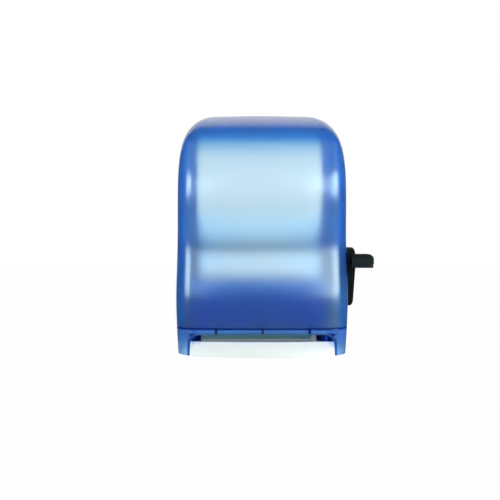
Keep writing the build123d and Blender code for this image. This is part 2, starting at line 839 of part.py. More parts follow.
def feed_shaft():
    """The steel shaft under the feed roller, out to the drive gear."""
    left = left_plate_outer - bush_flange
    return rod_x(feed_shaft_radius, left, pinion_right + 3 * clip_thickness, feed_y, feed_z)


def feed_clip():
    """The clip that keeps the drive gear on its shaft."""
    left = pinion_right + seat_gap
    bore = feed_shaft_radius + run_gap
    return ring_x(feed_shaft_radius + clip_ring, bore, left, left + clip_thickness, feed_y, feed_z)


def drive_gear():
    """The pinion that the lever's sector turns."""
    points = tooth_outline(pinion_teeth, [k + 1 / 2 for k in range(pinion_teeth)], mesh_angle + 180)
    face = Pos(feed_y, feed_z) * (Polygon(*points, align=None) - Circle(clutch_radius + run_gap))
    return side(face, pinion_left, pinion_right)


def one_way_clutch():
    """The clutch sleeve in the drive gear, which turns the shaft one way only."""
    return ring_x(clutch_radius, feed_shaft_radius + run_gap, pinion_left, pinion_right, feed_y, feed_z)


def pinch_roller():
    """The roller that presses the paper on to the feed roller."""
    return ring_x(pinch_radius, pinch_shaft_radius + run_gap, feed_left, feed_right, pinch_y, pinch_z())


def pinch_shaft():
    """The fixed shaft that the pinch roller turns on."""
    lip = pinch_block_lip_wall + seat_gap
    return rod_x(pinch_shaft_radius, left_plate_outer - lip, right_plate_outer + lip, pinch_y, pinch_z())


def pinch_blocks():
    """The two sliding blocks that carry the pinch shaft in the side plates' slots."""
    blocks = []
    half_y = pinch_block / 2
    half_z = pinch_block_height / 2
    tall = half_z + pinch_block_lip
    bore = pinch_shaft_radius + run_gap
    for left, right in ((left_plate_outer, left_plate_inner), (right_plate_inner, right_plate_outer)):
        start = left - run_gap
        end = right + run_gap
        body = block(start, end, -half_y, half_y, -half_z, half_z)
        body += block(start - pinch_block_lip_wall, start, -half_y, half_y, -tall, tall)
        body += block(end, end + pinch_block_lip_wall, -half_y, half_y, -tall, tall)
        body -= rod_x(bore, left - overrun, right + overrun, 0, 0)
        blocks.append(Pos(0, pinch_y, pinch_z()) * body)
    return blocks


def pinch_springs():
    """The two coils that push the sliding blocks forward."""
    springs = []
    start = pinch_y + pinch_block / 2 + spring_wire_radius + seat_gap
    length = pinch_spring_length - 2 * spring_wire_radius - 2 * seat_gap
    spring = Rot(-90, 0, 0) * coil(pinch_spring_radius, length, pinch_spring_turns)
    for middle in ((left_plate_inner + left_plate_outer) / 2, (right_plate_inner + right_plate_outer) / 2):
        springs.append(Pos(middle, start, pinch_z()) * spring)
    return springs


def sector_gear():
    """The toothed sector on the lever shaft."""
    numbers = range(-sector_teeth_before, sector_teeth_after + 1)
    points = tooth_outline(sector_whole_teeth, numbers, mesh_angle)
    face = Polygon((0, 0), *points, align=None) + Circle(sector_hub_radius)
    half_turn = math.pi * (sector_teeth_after - sector_teeth_before) / sector_whole_teeth
    middle = math.radians(mesh_angle) + half_turn
    window = (sector_pitch_radius + sector_hub_radius) / 2
    window_radius = (sector_pitch_radius - sector_hub_radius) / 4
    face -= Pos(window * math.cos(middle), window * math.sin(middle)) * Circle(window_radius)
    face -= Circle(lever_shaft_radius + run_gap)
    return side(Pos(lever_y, lever_z) * face, sector_left, sector_right)


def lever_shaft():
    """The steel shaft from the side plate out to the lever arm, tapped at its outer end."""
    inner_end = right_plate_inner - 3 * clip_thickness
    outer_end = lever_outer - lever_screw_head - lever_seat
    body = rod_x(lever_shaft_radius, inner_end, outer_end, lever_y, lever_z)
    tapped = outer_end - lever_screw_length
    return body - rod_x(lever_screw_radius + run_gap, tapped, outer_end, lever_y, lever_z)


def shaft_clip():
    """The retaining ring on the inner end of the lever shaft."""
    right = right_plate_inner - seat_gap
    bore = lever_shaft_radius + run_gap
    return ring_x(lever_shaft_radius + clip_ring, bore, right - clip_thickness, right, lever_y, lever_z)


def lever_bushes():
    """The two flanged bushes that carry the lever shaft, in the side plate and in the casing wall."""
    sleeve = lever_shaft_radius + bush_wall
    bore = lever_shaft_radius + run_gap
    flange = sleeve + bush_flange_wall
    plate = ring_x(sleeve, bore, right_plate_inner, right_plate_outer, lever_y, lever_z)
    plate += ring_x(flange, bore, right_plate_outer, right_plate_outer + bush_flange, lever_y, lever_z)
    outside = ring_x(sleeve, bore, half_width - wall - run_gap, half_width + run_gap, lever_y, lever_z)
    outside += ring_x(flange, bore, half_width + run_gap, lever_inner - 2 * seat_gap, lever_y, lever_z)
    return [plate, outside]


def lever_outline(inset):
    """The lever arm's outline in (y, z): hub, raised tip and lower front corner, joined by straight sides."""
    corners = (
        (lever_y, lever_z, lever_hub_radius),
        (grip_y + lever_tip_back, grip_z, lever_tip_radius),
        (lever_y - lever_front_reach, lever_z - lever_front_drop, lever_front_radius),
    )
    rounds = [(Pos(y, z) * Circle(radius - inset)).edge() for y, z, radius in corners]
    return make_hull(rounds)


def lever_arm():
    """The black lever beside the casing, hollow behind, with the shelf that the thumb pad sits on."""
    body = side(lever_outline(0), lever_inner, lever_outer)
    body = fillet(body.faces().sort_by(Axis.X)[-1].edges(), lever_edge_radius)
    pocket = side(lever_outline(lever_skin), lever_inner, lever_outer - lever_skin)
    pocket -= rod_x(lever_boss_radius, lever_inner, lever_outer, lever_y, lever_z)
    body -= pocket
    low = grip_z - grip_height / 2
    half = grip_length / 2
    left = lever_outer - grip_wrap
    right = lever_outer + grip_width
    shelf = block(left, right, grip_y - half, grip_y + half, low, low + grip_shelf)
    corners = shelf.edges().filter_by(Axis.Z).sort_by(Axis.X)[-2:]
    body += fillet(corners, grip_front_radius / 2)
    seat = lever_outer - lever_screw_head - lever_seat
    body -= rod_x(lever_shaft_radius + run_gap, lever_inner, seat, lever_y, lever_z)
    body -= rod_x(lever_screw_radius + run_gap, seat, lever_outer, lever_y, lever_z)
    recess = lever_outer - lever_screw_head
    return body - rod_x(lever_screw_head_radius + seat_gap, recess, lever_outer + overrun, lever_y, lever_z)


def lever_screw():
    """The screw that clamps the lever arm to its shaft."""
    seat = lever_outer - lever_screw_head
    head = rod_x(lever_screw_head_radius, seat, lever_outer, lever_y, lever_z)
    head -= Pos(lever_outer, lever_y, lever_z) * Rot(0, 90, 0) * extrude(
        RegularPolygon(lever_screw_radius, 6), lever_screw_head / 2, both=True)
    return head + rod_x(lever_screw_radius, seat - lever_screw_length, seat, lever_y, lever_z)


def thumb_pad():
    """The ridged pad on the lever's shelf."""
    low = grip_z - grip_height / 2 + grip_shelf
    high = grip_z + grip_height / 2 - ridge_height
    rear = grip_y + grip_length / 2 - ridge_height
    ahead = grip_y - grip_length / 2 + ridge_height
    face = Polygon((rear, low), (rear, high), (ahead, high), (ahead, low), align=None)
    corners = face.vertices().sort_by(Axis.X)
    face = fillet(corners[:2].sort_by(Axis.Y)[-1], grip_front_radius)
    face = fillet(face.vertices().sort_by(Axis.X)[-2:].sort_by(Axis.Y)[-1], grip_front_radius / 4)
    left = lever_outer - grip_wrap
    right = lever_outer + grip_width
    body = side(face, left, right)
    ridge_face = offset(face, ridge_height)
    pitch = (right - left - ridge_width) / (ridge_count - 1)
    for k in range(ridge_count):
        start = left + k * pitch
        body += side(ridge_face, start, start + ridge_width)
    room = block(left, right, ahead - overrun, rear + ridge_height, low, high + ridge_height)
    end_edge = room.edges().filter_by(Axis.Y).sort_by(Axis.Z)[-2:].sort_by(Axis.X)[-1]
    body &= fillet(end_edge, grip_end_radius)
    return body - side(lever_outline(-seat_gap), lever_inner, lever_outer + seat_gap)


def lever_spring():
    """The torsion coil round the lever shaft that lifts the lever again."""
    left = right_plate_outer + bush_flange + spring_wire_radius + seat_gap
    length = sector_left - seat_gap - spring_wire_radius - left
    spring = coil(lever_spring_radius, length, lever_spring_turns)
    return Pos(left, lever_y, lever_z) * Rot(0, 90, 0) * spring


def towel_roll():
    """The full paper roll."""
    return ring_x(roll_radius, core_radius + run_gap, roll_left, roll_right, roll_y, roll_z)


def roll_core():
    """The full roll's cardboard tube."""
    return ring_x(core_radius, core_radius - core_wall, roll_left, roll_right, roll_y, roll_z)


def stub_roll():
    """The rest of the old roll, which is used up first."""
    return ring_x(stub_radius, core_radius + run_gap, roll_left, roll_right, stub_y, stub_z)


def stub_core():
    """The old roll's cardboard tube."""
    return ring_x(core_radius, core_radius - core_wall, roll_left, roll_right, stub_y, stub_z)


def paper_web():
    """The paper from the stub roll down through the rollers to the tear bar."""
    half = web_thickness / 2
    bend_z = feed_z + feed_radius + guard_gap
    reach = stub_radius + soft_gap + half
    run_y = web_y - stub_y
    run_z = bend_z - stub_z
    angle = math.atan2(run_z, run_y) + math.acos(reach / math.hypot(run_y, run_z))
    leave = (stub_y + reach * math.cos(angle), stub_z + reach * math.sin(angle))
    line = [leave, (web_y, bend_z), (web_y, bottom_z + tear_bar_lift)]
    points = [(y - half, z) for y, z in line] + [(y + half, z) for y, z in reversed(line)]
    return side(Polygon(*points, align=None), roll_left, roll_right)


def roll_arm(turn):
    """A swinging arm that holds one end of the roll's core; turn is -1 on the left and 1 on the right."""
    roll_end = roll_left if turn < 0 else roll_right
    face_x = roll_end + turn * arm_gap
    back_x = face_x + turn * arm_thickness
    pin_x = arm_pin_places()[0 if turn < 0 else 1]
    half = arm_knuckle_height / 2
    low = roll_z - half + arm_root_drop
    high = roll_z + half - arm_root_drop
    ahead = arm_pin_y - arm_knuckle_radius
    root = Polygon((arm_pin_y, low), (arm_pin_y, high), (ahead, high), (ahead, low), align=None)
    disc = Pos(roll_y, roll_z) * Circle(arm_disc_radius)
    outline = make_hull([*root.edges(), *disc.edges()])
    body = side(outline, min(face_x, back_x), max(face_x, back_x))
    body += rod_z(arm_knuckle_radius, pin_x, arm_pin_y, roll_z - half, roll_z + half)
    body -= rod_z(arm_pin_radius + run_gap, pin_x, arm_pin_y, roll_z - half, roll_z + half)
    room = arm_spring_room / 2
    clear = arm_knuckle_radius + spring_wire_radius + soft_gap
    return body - rod_z(clear, pin_x, arm_pin_y, roll_z - room, roll_z + room)


def roll_hub(turn):
    """The tapered plug on an arm, which the roll's core turns on."""
    roll_end = roll_left if turn < 0 else roll_right
    root_x = roll_end + turn * arm_gap
    root = core_radius - core_wall - hub_gap
    tip = root - hub_taper
    straight = rod_x(root, root_x, roll_end, roll_y, roll_z)
    plane = Plane(origin=(roll_end, roll_y, roll_z), z_dir=(-turn, 0, 0))
    cone = plane * Pos(0, 0, (hub_length - arm_gap) / 2) * Cone(root, tip, hub_length - arm_gap)
    hollow = rod_x(tip - hub_wall, root_x - turn * hub_wall, roll_end - turn * hub_length, roll_y, roll_z)
    return straight + cone - hollow


def arm_bracket(turn):
    """The bracket on the back that holds an arm's pin between two ears."""
    pin_x = arm_pin_places()[0 if turn < 0 else 1]
    half = bracket_height / 2
    rear = -back_wall
    wide = 2 * arm_knuckle_radius
    body = block(pin_x - wide, pin_x + wide, rear - bracket_wall, rear, roll_z - half, roll_z + half)
    ear_front = arm_pin_y - arm_knuckle_radius
    ear_rear = rear - bracket_wall / 2
    for side_turn in (-1, 1):
        near = roll_z + side_turn * (arm_knuckle_height / 2 + seat_gap)
        far = near + side_turn * arm_ear
        body += block(pin_x - wide / 2, pin_x + wide / 2, ear_front, ear_rear, min(near, far), max(near, far))
    body -= rod_z(arm_pin_radius + run_gap, pin_x, arm_pin_y, roll_z - half, roll_z + half)
    for x, z in screw_places_brackets():
        body -= screw_hole_y(x, rear - overrun, rear + overrun, z)
    return body


def arm_pins():
    """The two steel pins that the roll arms swing on."""
    half = arm_knuckle_height / 2 + seat_gap + arm_ear
    return [rod_z(arm_pin_radius, x, arm_pin_y, roll_z - half, roll_z + half) for x in arm_pin_places()]


def arm_springs():
    """The small coils round the arm pins that close the arms on the roll."""
    length = arm_spring_room - 2 * spring_wire_radius - 2 * seat_gap
    spring = coil(arm_spring_radius, length, arm_spring_turns)
    return [Pos(x, arm_pin_y, roll_z - length / 2) * spring for x in arm_pin_places()]


pieces = {
    "rear_housing": rear_housing(),
    "lower_frame": lower_frame(),
    "front_cover": front_cover(),
    "hinge_pin": hinge_pin(),
    "latch_tab": latch_tab(),
    "latch_spring": latch_spring(),
    "latch_keeper": latch_keeper(),
    "delivery_lip": delivery_lip(),
    "tear_bar": tear_bar(),
    "tear_bar_screws": tear_bar_screws(),
    "frame_screws": frame_screws(),
    "left_side_plate": left_side_plate(),
    "right_side_plate": right_side_plate(),
    "chassis_screws": chassis_screws(),
    "inner_guard": inner_guard(),
    "left_feed_bush": left_feed_bush(),
    "right_feed_bush": right_feed_bush(),
    "feed_roller": feed_roller(),
    "feed_shaft": feed_shaft(),
    "feed_clip": feed_clip(),
    "drive_gear": drive_gear(),
    "one_way_clutch": one_way_clutch(),
    "pinch_roller": pinch_roller(),
    "pinch_shaft": pinch_shaft(),
    "pinch_blocks": pinch_blocks(),
    "pinch_springs": pinch_springs(),
    "sector_gear": sector_gear(),
    "lever_shaft": lever_shaft(),
    "shaft_clip": shaft_clip(),
    "lever_bushes": lever_bushes(),
    "lever_arm": lever_arm(),
    "lever_screw": lever_screw(),
    "thumb_pad": thumb_pad(),
    "lever_spring": lever_spring(),
    "towel_roll": towel_roll(),
    "roll_core": roll_core(),
    "stub_roll": stub_roll(),
    "stub_core": stub_core(),
    "paper_web": paper_web(),
    "left_roll_arm": roll_arm(-1),
    "right_roll_arm": roll_arm(1),
    "left_roll_hub": roll_hub(-1),
    "right_roll_hub": roll_hub(1),
    "left_arm_bracket": arm_bracket(-1),
    "right_arm_bracket": arm_bracket(1),
    "arm_pins": arm_pins(),
    "arm_springs": arm_springs(),
}

os.makedirs("parts", exist_ok=True)
for name, shape in pieces.items():
    whole = Compound(children=shape) if isinstance(shape, list) else shape
    export_step(whole, f"parts/{name}.step")
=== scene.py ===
import json
import math
import random

import bmesh
import bpy
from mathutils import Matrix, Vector


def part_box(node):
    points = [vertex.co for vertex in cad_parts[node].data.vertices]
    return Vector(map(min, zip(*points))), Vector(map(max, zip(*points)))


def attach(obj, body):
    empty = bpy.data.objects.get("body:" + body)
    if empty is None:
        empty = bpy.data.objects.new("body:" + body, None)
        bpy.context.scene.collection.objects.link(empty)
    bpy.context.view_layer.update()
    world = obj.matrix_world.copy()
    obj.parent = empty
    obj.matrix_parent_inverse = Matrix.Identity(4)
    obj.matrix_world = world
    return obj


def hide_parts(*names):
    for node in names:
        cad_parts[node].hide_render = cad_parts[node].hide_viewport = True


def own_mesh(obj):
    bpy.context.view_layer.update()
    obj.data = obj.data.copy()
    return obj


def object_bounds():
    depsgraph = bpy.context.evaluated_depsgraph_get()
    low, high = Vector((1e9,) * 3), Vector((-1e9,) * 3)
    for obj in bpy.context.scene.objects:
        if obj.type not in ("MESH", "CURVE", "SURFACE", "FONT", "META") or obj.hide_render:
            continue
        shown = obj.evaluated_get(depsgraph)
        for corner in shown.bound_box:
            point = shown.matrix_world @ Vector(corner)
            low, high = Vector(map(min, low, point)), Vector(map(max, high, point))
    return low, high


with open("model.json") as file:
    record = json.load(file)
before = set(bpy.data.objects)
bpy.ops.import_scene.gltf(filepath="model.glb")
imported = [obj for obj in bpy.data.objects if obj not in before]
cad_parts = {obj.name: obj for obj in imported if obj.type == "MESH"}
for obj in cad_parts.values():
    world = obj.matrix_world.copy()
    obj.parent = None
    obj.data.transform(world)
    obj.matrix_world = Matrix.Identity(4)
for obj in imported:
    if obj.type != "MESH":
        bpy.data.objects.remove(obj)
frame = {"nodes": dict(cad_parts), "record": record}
cad_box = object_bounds()
nodes = frame["nodes"]

# The photograph's view: the camera looks level along +Y
IMAGE_SIZE = 500
FOCAL_PIXELS = 662.0
SENSOR_WIDTH = 36.0
CAMERA_PLACE = (-0.0195, -1.275, -0.039)

# The white floor, and the even light that the part gets from all round
FLOOR_DROP = 0.42
FLOOR_HALF = 30.0
FLOOR_GLOW = 0.985
FLOOR_DARK = (0.80, 0.80, 0.80)
FLOOR_LIGHT = (0.84, 0.84, 0.84)
FLOOR_CLOUD_SIZE = 0.4
FLOOR_ROUGH = 0.8
WORLD_COLOUR = (0.96, 0.98, 1.0, 1.0)
WORLD_LIGHT = 0.51
WHITE = (1.0, 1.0, 1.0, 1.0)

# Lamps that light the part: place, size in metres and power in watts
SOFTBOXES = {
    "left_softbox": ((-1.15, -0.85, 0.33), (0.45, 0.30), 5.0),
    "right_softbox": ((1.15, -0.80, 0.33), (0.75, 0.30), 7.5),
    "front_softbox": ((0.55, -1.55, 0.36), (0.9, 0.22), 2.5),
}

# Panels that the part only mirrors: place, size in metres and brightness
GLINTS = {
    "left_glint": ((-1.12, -0.95, 0.31), (0.60, 0.58), 16.0),
    "right_glint": ((1.12, -0.90, 0.31), (0.60, 0.58), 16.0),
    "broad_glint": ((0.86, -1.34, 0.31), (0.74, 0.60), 14.0),
    "faint_glint": ((-0.80, -1.40, 0.31), (0.80, 0.54), 4.5),
}
GLINT_COLOUR = (0.70, 0.94, 1.0)
LIGHT_TARGET = (0.0, -0.12, 0.0)

# The dark bowl in the mirrored light: its arcs are in degrees from the view's axis
FLAG_RADIUS = 2.4
FLAG_SIDE_ARC = 145.0
FLAG_TOP_ARC = 120.0
FLAG_SPOKES = 48
FLAG_RINGS = 16
FLAG_LIFT = 0.02
FLAG_GREY = (0.03, 0.03, 0.03, 1.0)
FLAG_ROUGH = 1.0

# The see-through plastic: what its body lets through, how much it soaks up over a metre, and its skin
BODY_BLUE = (0.10, 0.48, 0.76, 1.0)
BODY_DENSITY = 105.0
BODY_IOR = 1.18
SKIN_TINT = (0.10, 0.28, 0.70, 1.0)
SKIN_COAT = 1.0
SKIN_COAT_IOR = 1.45
SKIN_COAT_ROUGH = 0.23
FROST_PATCH_SIZE = 0.012
FROST_SWING = 0.03
FROST_GRAIN_SIZE = 0.0016
FROST_DETAIL = 2.0
FROST_DEPTH = 0.00002
CLOUD_SIZE = 0.05
CLOUD_BLUE = (0.76, 0.86, 0.90)
CLOUD_SHARE = 0.3

# The cover's colours, with painted light and shade, and the heights or widths over which each comes in
COVER_ROUGH = 0.76
COVER_CLEAR_SHARE = 1.0
COVER_PALE = (0.91, 0.87, 0.84)
WAIST_TOP = (0.030, -0.005)
WAIST_LOW = (-0.042, -0.030)
# Painted light: a paler, bluer tint at the waist, for blue light in the shade between the rolls
WAIST_PAINTED_LIGHT = (0.90, 0.98, 1.0)
BROW_SPAN = (0.128, 0.147)
# Painted shade: the brow tinted deeper blue where the roll's top lies in shade
BROW_PAINTED_SHADE = (0.36, 0.63, 0.84)
SIDE_SPAN = (0.114, 0.136)
# Painted shade: the sides tinted deeper blue for the dark inside behind them, where no paper is
SIDE_PAINTED_SHADE = (0.29, 0.64, 1.0)
EDGE_SPAN = (-0.1615, -0.1640)
# Painted shade: the cover's lower edge darkened to navy for the shaded gap of the seam
EDGE_PAINTED_SHADE = (0.03, 0.10, 0.42)

# The lower frame's colours with painted shade on the posts, and its arch
FRAME_ROUGH = 0.60
FRAME_CLEAR_SHARE = 0.85
POST_BLUE = (0.34, 0.69, 1.0)
POST_SPAN = (-0.202, -0.174)
# Painted shade: the posts darker towards the top, lighter below where light comes up from the floor
POST_PAINTED_SHADE = (0.23, 0.53, 0.98)
ARCH_TOP = -0.17432
ARCH_RADIUS = 0.017
ARCH_RIM = 0.0045
RIM_BLUR = 0.0004
RIM_BLUE = (0.09, 0.32, 0.88)
STRIP_SPAN = (-0.1773, -0.1733)
STRIP_BLUE = (0.30, 0.66, 1.0)

# Opaque mouldings: dark and light colour, roughness, relief depth and index of refraction
MOULDINGS = {
    "housing_blue": ((0.085, 0.33, 0.92), (0.105, 0.37, 0.98), 0.35, 0.00003, 1.45),
    "lip_white": ((0.91, 0.97, 0.94), (0.93, 0.98, 0.96), 0.30, 0.000001, 1.45),
    "lever_black": ((0.006, 0.008, 0.010), (0.012, 0.016, 0.020), 0.38, 0.00002, 1.18),
    "nylon": ((0.72, 0.74, 0.68), (0.82, 0.83, 0.78), 0.42, 0.00003, 1.45),
}
MOULD_CLOUD_SIZE = 0.03
MOULD_PATCH_SIZE = 0.006
MOULD_SWING = 0.05
MOULD_GRAIN_SIZE = 0.0007
MOULD_DETAIL = 2.0

# The dark chassis plastic, paler where light falls in over the guard
CHASSIS_DARK = (0.001, 0.050, 0.31)
CHASSIS_CLOUD = (0.003, 0.068, 0.38)
# Painted light: the paler colour higher up, where light falls in over the guard
CHASSIS_PAINTED_LIGHT = (0.020, 0.165, 0.52)
CHASSIS_SPAN = (-0.122, -0.098)
CHASSIS_ROUGH = 0.55
CHASSIS_DEPTH = 0.00003
CHASSIS_IOR = 1.2

# Rubbers: dark and light colour, and the stretch of the grinding lines along each axis
RUBBERS = {
    "pad_black": ((0.009, 0.015, 0.012), (0.022, 0.033, 0.028), (1.0, 1.0, 1.0)),
    "roller_grey": ((0.17, 0.31, 0.27), (0.26, 0.41, 0.36), (3.0, 0.3, 0.3)),
}
RUBBER_LINE_SIZE = 0.004
RUBBER_DETAIL = 3.0
RUBBER_DEPTH = 0.00008
RUBBER_PATCH_SIZE = 0.003
RUBBER_ROUGH = (0.55, 0.75)
RUBBER_IOR = 1.2

# Metals: dark and light colour, roughness, and the stretch of the drawn lines along each axis
METALS = {
    "brass": ((0.45, 0.31, 0.12), (0.66, 0.48, 0.22), 0.35, (4.0, 1.0, 1.0)),
    "steel": ((0.46, 0.47, 0.48), (0.66, 0.67, 0.68), 0.30, (0.2, 3.0, 3.0)),
    "spring_steel": ((0.30, 0.31, 0.33), (0.50, 0.51, 0.53), 0.28, (1.0, 1.0, 1.0)),
}
METAL_LINE_SIZE = 0.003
METAL_DETAIL = 4.0
METAL_SWING = 0.08
METAL_DEPTH = 0.00001

# Paper and tube board
PAPER_DARK = (0.86, 0.87, 0.84)
PAPER_LIGHT = (0.92, 0.92, 0.90)
PAPER_CLOUD_SIZE = 0.02
PAPER_CELL_SIZE = 0.0035
PAPER_CELL_DEPTH = 0.0003
PAPER_CELL_STRENGTH = 0.6
PAPER_ROUGH = 0.92
PAPER_SHEEN = 0.2
BOARD_DARK = (0.30, 0.20, 0.11)
BOARD_LIGHT = (0.50, 0.37, 0.23)
BOARD_FIBRE_SIZE = 0.004
BOARD_FIBRE_DETAIL = 6.0
BOARD_FIBRE_STRETCH = (0.3, 1.0, 1.0)
BOARD_DEPTH = 0.0001
BOARD_ROUGH = 0.9

# The wound rolls: angles are in radians, and a wave's slant in radians over a metre
PAPER_LAYER = 0.0007
RING_STEP = 0.0016
RING_UNEVEN = 0.0005
LEAST_RINGS = 4
ROLL_STEPS = 180
ROLL_BANDS = 40
ROLL_WAVES = 4
WAVE_SLANT = 30
SOFT_UNEVEN = 0.0004
FULL_TAIL_ANGLE = 0.35
FULL_SEED = 11
STUB_TAIL_ANGLE = 5.2
STUB_SEED = 12

# The paper web
WEB_INSET = 0.0002
WEB_BEND_RISE = 0.0015
WEB_ROLL_GAP = 0.0005
WEB_COLUMNS = 84
WEB_ROWS = 70
WEB_LOOSE_SHARE = 0.25
WEB_RIPPLE = 0.0007
RIPPLE_ACROSS = 14.0
RIPPLE_ALONG = 6.0
TEAR_TEETH = 42
TEAR_DEPTH = 0.0016


def new_material(name):
    """A node material with its principled shader."""
    material = bpy.data.materials.new(f"{name}_finish")
    material.use_nodes = True
    tree = material.node_tree
    return material, tree, tree.nodes["Principled BSDF"]


def grain(tree, size, detail=4.0, stretch=(1.0, 1.0, 1.0)):
    """Noise whose grains have about that size in metres."""
    place = tree.nodes.new("ShaderNodeTexCoord")
    mapping = tree.nodes.new("ShaderNodeMapping")
    mapping.inputs["Scale"].default_value = stretch
    texture = tree.nodes.new("ShaderNodeTexNoise")
    texture.inputs["Scale"].default_value = 1.0 / size
    texture.inputs["Detail"].default_value = detail
    tree.links.new(place.outputs["Object"], mapping.inputs["Vector"])
    tree.links.new(mapping.outputs["Vector"], texture.inputs["Vector"])
    return texture.outputs["Fac"]


def shades(tree, shader, value, dark, light):
    """The base colour runs from dark to light with the value."""
    overlay(tree, shader, dark, [(value, light)])


def gloss(tree, shader, value, low, high):
    """The roughness runs from low to high with the value."""
    span = tree.nodes.new("ShaderNodeMapRange")
    span.inputs["To Min"].default_value = low
    span.inputs["To Max"].default_value = high
    tree.links.new(value, span.inputs["Value"])
    tree.links.new(span.outputs["Result"], shader.inputs["Roughness"])


def relief(tree, shader, value, depth, strength=1.0):
    """Surface relief of about that depth in metres."""
    bump = tree.nodes.new("ShaderNodeBump")
    bump.inputs["Distance"].default_value = depth
    bump.inputs["Strength"].default_value = strength
    tree.links.new(value, bump.inputs["Height"])
    tree.links.new(bump.outputs["Normal"], shader.inputs["Normal"])


def smooth_step(tree, value, span):
    """A value that rises smoothly from 0 at the span's start to 1 at its end."""
    start, end = span
    step = tree.nodes.new("ShaderNodeMapRange")
    step.interpolation_type = "SMOOTHSTEP"
    step.inputs["From Min"].default_value = start
    step.inputs["From Max"].default_value = end
    tree.links.new(value, step.inputs["Value"])
    return step.outputs["Result"]


def sum_of(tree, operation, *values):
    """The result of one sum, whose values are sockets or plain numbers."""
    node = tree.nodes.new("ShaderNodeMath")
    node.operation = operation
    for socket, value in zip(node.inputs, values):
        if isinstance(value, float):
            socket.default_value = value
        else:
            tree.links.new(value, socket)
    return node.outputs["Value"]


def aside_and_height(tree):
    """How far a point lies from the middle, and its height."""
    place = tree.nodes.new("ShaderNodeTexCoord")
    split = tree.nodes.new("ShaderNodeSeparateXYZ")
    tree.links.new(place.outputs["Object"], split.inputs["Vector"])
    return sum_of(tree, "ABSOLUTE", split.outputs["X"]), split.outputs["Z"]


def overlay(tree, shader, base, layers):
    """The base colour, covered by each layer's colour where its share is 1."""
    under = None
    for share, colour in layers:
        mix = tree.nodes.new("ShaderNodeMix")
        mix.data_type = "RGBA"
        mix.inputs["A"].default_value = (*base, 1.0)
        mix.inputs["B"].default_value = (*colour, 1.0)
        tree.links.new(share, mix.inputs["Factor"])
        if under:
            tree.links.new(under, mix.inputs["A"])
        under = mix.outputs["Result"]
    tree.links.new(under, shader.inputs["Base Color"])


def cover_layers(tree):
    """Faint clouds, painted blue light at the waist between the rolls, painted shade on the brow and
    sides, and painted shade at the lower edge.
    """
    aside, height = aside_and_height(tree)
    below = smooth_step(tree, height, WAIST_TOP)
    above = smooth_step(tree, height, WAIST_LOW)
    return [
        (sum_of(tree, "MULTIPLY", grain(tree, CLOUD_SIZE), CLOUD_SHARE), CLOUD_BLUE),
        # painted blue light in the shade between the rolls
        (sum_of(tree, "MULTIPLY", below, above), WAIST_PAINTED_LIGHT),
        # painted shade over the roll's top at the brow
        (smooth_step(tree, height, BROW_SPAN), BROW_PAINTED_SHADE),
        # painted shade on the sides, for the dark inside behind them
        (smooth_step(tree, aside, SIDE_SPAN), SIDE_PAINTED_SHADE),
        # painted shade in the seam along the lower edge
        (smooth_step(tree, height, EDGE_SPAN), EDGE_PAINTED_SHADE),
    ]


def frame_layers(tree):
    """Faint clouds, painted shade that deepens the posts upward, the rim round the arch and the strip
    over it.
    """
    aside, height = aside_and_height(tree)
    half_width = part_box("delivery_lip")[1].x
    corner = ARCH_RADIUS + ARCH_RIM
    out = sum_of(tree, "MAXIMUM", sum_of(tree, "SUBTRACT", aside, half_width - ARCH_RADIUS), 0.0)
    up = sum_of(tree, "MAXIMUM", sum_of(tree, "SUBTRACT", height, ARCH_TOP - ARCH_RADIUS), 0.0)
    up = sum_of(tree, "MINIMUM", up, ARCH_RADIUS)
    square = sum_of(tree, "ADD", sum_of(tree, "MULTIPLY", out, out), sum_of(tree, "MULTIPLY", up, up))
    reach = sum_of(tree, "SQRT", square)
    inside = smooth_step(tree, aside, (half_width, half_width - ARCH_RADIUS))
    return [
        (sum_of(tree, "MULTIPLY", grain(tree, CLOUD_SIZE), CLOUD_SHARE), CLOUD_BLUE),
        # painted shade, darker up the posts
        (smooth_step(tree, height, POST_SPAN), POST_PAINTED_SHADE),
        (smooth_step(tree, reach, (corner + RIM_BLUR, corner - RIM_BLUR)), RIM_BLUE),
        (sum_of(tree, "MULTIPLY", smooth_step(tree, height, STRIP_SPAN), inside), STRIP_BLUE),
    ]


def translucent_plastic(name, base, layers, rough, clear_share):
    """Frosted see-through plastic with a glossy skin, whose body soaks up red and green."""
    material, tree, shader = new_material(name)
    overlay(tree, shader, base, layers(tree))
    gloss(tree, shader, grain(tree, FROST_PATCH_SIZE), rough - FROST_SWING, rough + FROST_SWING)
    relief(tree, shader, grain(tree, FROST_GRAIN_SIZE, FROST_DETAIL), FROST_DEPTH)
    shader.inputs["Transmission Weight"].default_value = clear_share
    shader.inputs["IOR"].default_value = BODY_IOR
    shader.inputs["Specular Tint"].default_value = SKIN_TINT
    shader.inputs["Coat Weight"].default_value = SKIN_COAT
    shader.inputs["Coat IOR"].default_value = SKIN_COAT_IOR
    shader.inputs["Coat Roughness"].default_value = SKIN_COAT_ROUGH
    body = tree.nodes.new("ShaderNodeVolumeAbsorption")
    body.inputs["Color"].default_value = BODY_BLUE
    body.inputs["Density"].default_value = BODY_DENSITY
    tree.links.new(body.outputs["Volume"], tree.nodes["Material Output"].inputs["Volume"])
    return material


def moulded_skin(tree, shader, rough, depth, ior):
    """The fine spark-eroded skin of opaque moulded plastic."""
    shader.inputs["IOR"].default_value = ior
    gloss(tree, shader, grain(tree, MOULD_PATCH_SIZE), rough - MOULD_SWING, rough + MOULD_SWING)
    relief(tree, shader, grain(tree, MOULD_GRAIN_SIZE, MOULD_DETAIL), depth)


def moulded_plastic(name, dark, light, rough, depth, ior):
    """Opaque moulded plastic."""
    material, tree, shader = new_material(name)
    shades(tree, shader, grain(tree, MOULD_CLOUD_SIZE), dark, light)
    moulded_skin(tree, shader, rough, depth, ior)
    return material


